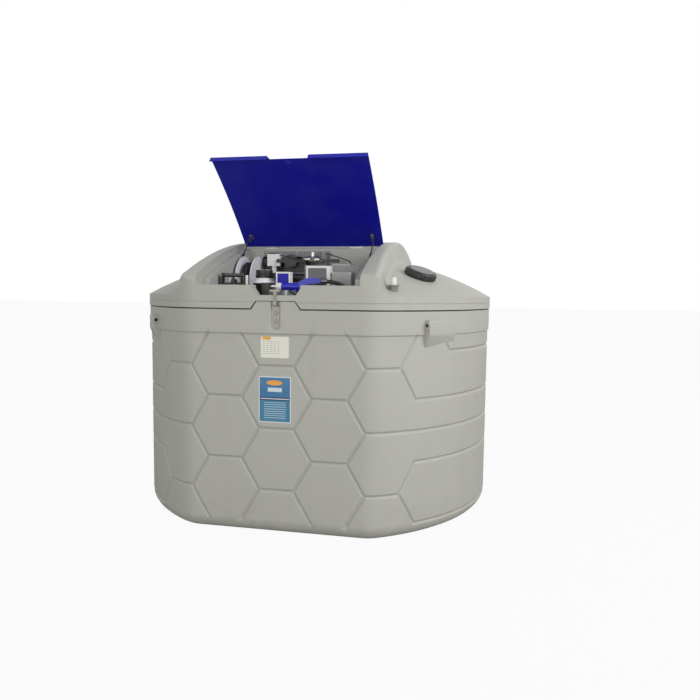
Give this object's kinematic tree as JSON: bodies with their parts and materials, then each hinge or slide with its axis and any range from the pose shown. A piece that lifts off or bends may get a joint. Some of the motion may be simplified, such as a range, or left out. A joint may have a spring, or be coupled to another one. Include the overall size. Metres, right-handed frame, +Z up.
{
  "type": "diesel exhaust fluid tank",
  "caption": "Round double-walled plastic bulk tank with a flat front, raised cover, lifting lid and hose dispensing gear inside",
  "frame": {"origin": "centre of the round of the plan, on the ground under the tank", "axes": "+Z up, the flat front faces -Y, +X is the right of the tank seen from the front"},
  "size_m": [2.38, 2.2413, 2.2417],
  "materials": {
    "tank_plastic": "moulded, lightly weathered",
    "black_plastic": "satin black",
    "blue_plastic": "satin blue",
    "white_plastic": "satin white",
    "grey_plastic": "satin grey",
    "steel": "stainless",
    "painted_steel": "powder coated",
    "seal_rubber": "sealing rubber",
    "display": "dark window"
  },
  "bodies": {
    "tank": {"outer_tank": "tank_plastic", "inner_tank": "tank_plastic", "top_cover": "tank_plastic", "cover_seal": "seal_rubber", "equipment_tray": "white_plastic", "hinge_lower_leaves": "steel", "hinge_pins": "steel", "strut_lower_studs": "steel", "hasp_plate": "steel", "hasp_screws": "steel", "hasp_pin": "steel", "filler_neck": "black_plastic", "vent_socket": "black_plastic", "vent_pipe": "white_plastic", "reel_stand": "painted_steel", "hose_guide": "painted_steel", "pump_plate": "steel", "pump_motor": "grey_plastic", "pump_head": "black_plastic", "fill_coupling": "black_plastic", "pressure_pipe": "steel", "ball_valve": "black_plastic", "valve_pipe": "black_plastic", "level_display": "white_plastic", "console_plate": "steel", "control_box": "white_plastic", "control_screen": "display", "junction_box": "grey_plastic", "power_supply": "grey_plastic", "meter_case": "white_plastic", "meter_face": "blue_plastic", "inline_filter": "black_plastic", "breather_base": "black_plastic", "breather_dome": "grey_plastic", "nozzle_holder": "black_plastic", "nozzle_spout": "steel", "nozzle_collar": "white_plastic", "nozzle_body": "blue_plastic", "nozzle_guard": "black_plastic", "delivery_hose": "seal_rubber"},
    "lid": {"lid": "blue_plastic", "hinge_upper_leaves": "steel", "strut_lid_brackets": "steel", "lid_staple": "steel"},
    "cylinder_left": {"strut_cylinder_left": "painted_steel"},
    "cylinder_right": {"strut_cylinder_right": "painted_steel"},
    "rod_left": {"strut_rod_left": "steel"},
    "rod_right": {"strut_rod_right": "steel"},
    "strap": {"hasp_strap": "steel"},
    "filler_cap": {"filler_cap": "black_plastic"},
    "breather_cap": {"breather_cap": "black_plastic"},
    "coupling_cap": {"coupling_cap": "black_plastic"},
    "reel": {"reel_drum": "white_plastic", "hose_winding": "seal_rubber"},
    "roller_low": {"guide_roller_low": "white_plastic"},
    "roller_high": {"guide_roller_high": "white_plastic"},
    "roller_left": {"guide_roller_left": "white_plastic"},
    "roller_right": {"guide_roller_right": "white_plastic"},
    "lever": {"valve_lever": "black_plastic"},
    "trigger": {"nozzle_trigger": "black_plastic"}
  },
  "joints": [
    {"name": "lid_hinge", "type": "hinge", "parent": "tank", "child": "lid", "pos_m": [0, -0.2196, 1.744], "axis": [1, 0, 0], "range_deg": [0, 57.1]},
    {"name": "hasp_pivot", "type": "hinge", "parent": "tank", "child": "strap", "pos_m": [0, -1.0465, 1.357], "axis": [1, 0, 0], "range_deg": [0, 165]},
    {"name": "filler_cap_turn", "type": "hinge", "parent": "tank", "child": "filler_cap", "pos_m": [0.76588, -0.52049, 1.53879], "axis": [0.3049, -0.2072, 0.9296], "continuous": true},
    {"name": "breather_cap_turn", "type": "hinge", "parent": "tank", "child": "breather_cap", "pos_m": [-0.187, -0.7, 1.55], "axis": [0, 0, 1], "continuous": true},
    {"name": "coupling_cap_turn", "type": "hinge", "parent": "tank", "child": "coupling_cap", "pos_m": [-0.103, -0.4, 1.638], "axis": [0, 1, 0], "continuous": true},
    {"name": "reel_spin", "type": "hinge", "parent": "tank", "child": "reel", "pos_m": [-0.376, -0.43, 1.49], "axis": [1, 0, 0], "continuous": true},
    {"name": "roller_low_spin", "type": "hinge", "parent": "tank", "child": "roller_low", "pos_m": [-0.346, -0.821, 1.478], "axis": [1, 0, 0], "continuous": true},
    {"name": "roller_high_spin", "type": "hinge", "parent": "tank", "child": "roller_high", "pos_m": [-0.346, -0.821, 1.53], "axis": [1, 0, 0], "continuous": true},
    {"name": "roller_left_spin", "type": "hinge", "parent": "tank", "child": "roller_left", "pos_m": [-0.373, -0.797, 1.5], "axis": [0, 0, 1], "continuous": true},
    {"name": "roller_right_spin", "type": "hinge", "parent": "tank", "child": "roller_right", "pos_m": [-0.319, -0.797, 1.5], "axis": [0, 0, 1], "continuous": true},
    {"name": "valve_turn", "type": "hinge", "parent": "tank", "child": "lever", "pos_m": [0.096, -0.37, 1.64], "axis": [0, 1, 0], "range_deg": [0, 90]},
    {"name": "trigger_squeeze", "type": "hinge", "parent": "tank", "child": "trigger", "pos_m": [0.07, -0.88, 1.438], "axis": [0, 1, 0], "range_deg": [-8, 0], "stiffness_Nm_per_rad": 0.5},
    {"name": "strut_left_swing", "type": "hinge", "parent": "tank", "child": "cylinder_left", "pos_m": [-0.434, -0.5196, 1.574], "axis": [1, 0, 0], "range_deg": [-18.44, 0.05]},
    {"name": "strut_left_stroke", "type": "slide", "parent": "cylinder_left", "child": "rod_left", "axis": [0, 0.6953, 0.7187], "range_m": [-0.05248, 0.0001]},
    {"name": "strut_right_swing", "type": "hinge", "parent": "tank", "child": "cylinder_right", "pos_m": [0.434, -0.5196, 1.574], "axis": [1, 0, 0], "range_deg": [-18.44, 0.05]},
    {"name": "strut_right_stroke", "type": "slide", "parent": "cylinder_right", "child": "rod_right", "axis": [0, 0.6953, 0.7187], "range_m": [-0.05248, 0.0001]}
  ],
  "couplings": [
    {"joint": "strut_left_swing", "follows": "lid_hinge", "ratio": -0.32207},
    {"joint": "strut_left_stroke", "follows": "lid_hinge", "m_per_rad": -0.05256},
    {"joint": "strut_right_swing", "follows": "lid_hinge", "ratio": -0.32207},
    {"joint": "strut_right_stroke", "follows": "lid_hinge", "m_per_rad": -0.05256}
  ]
}
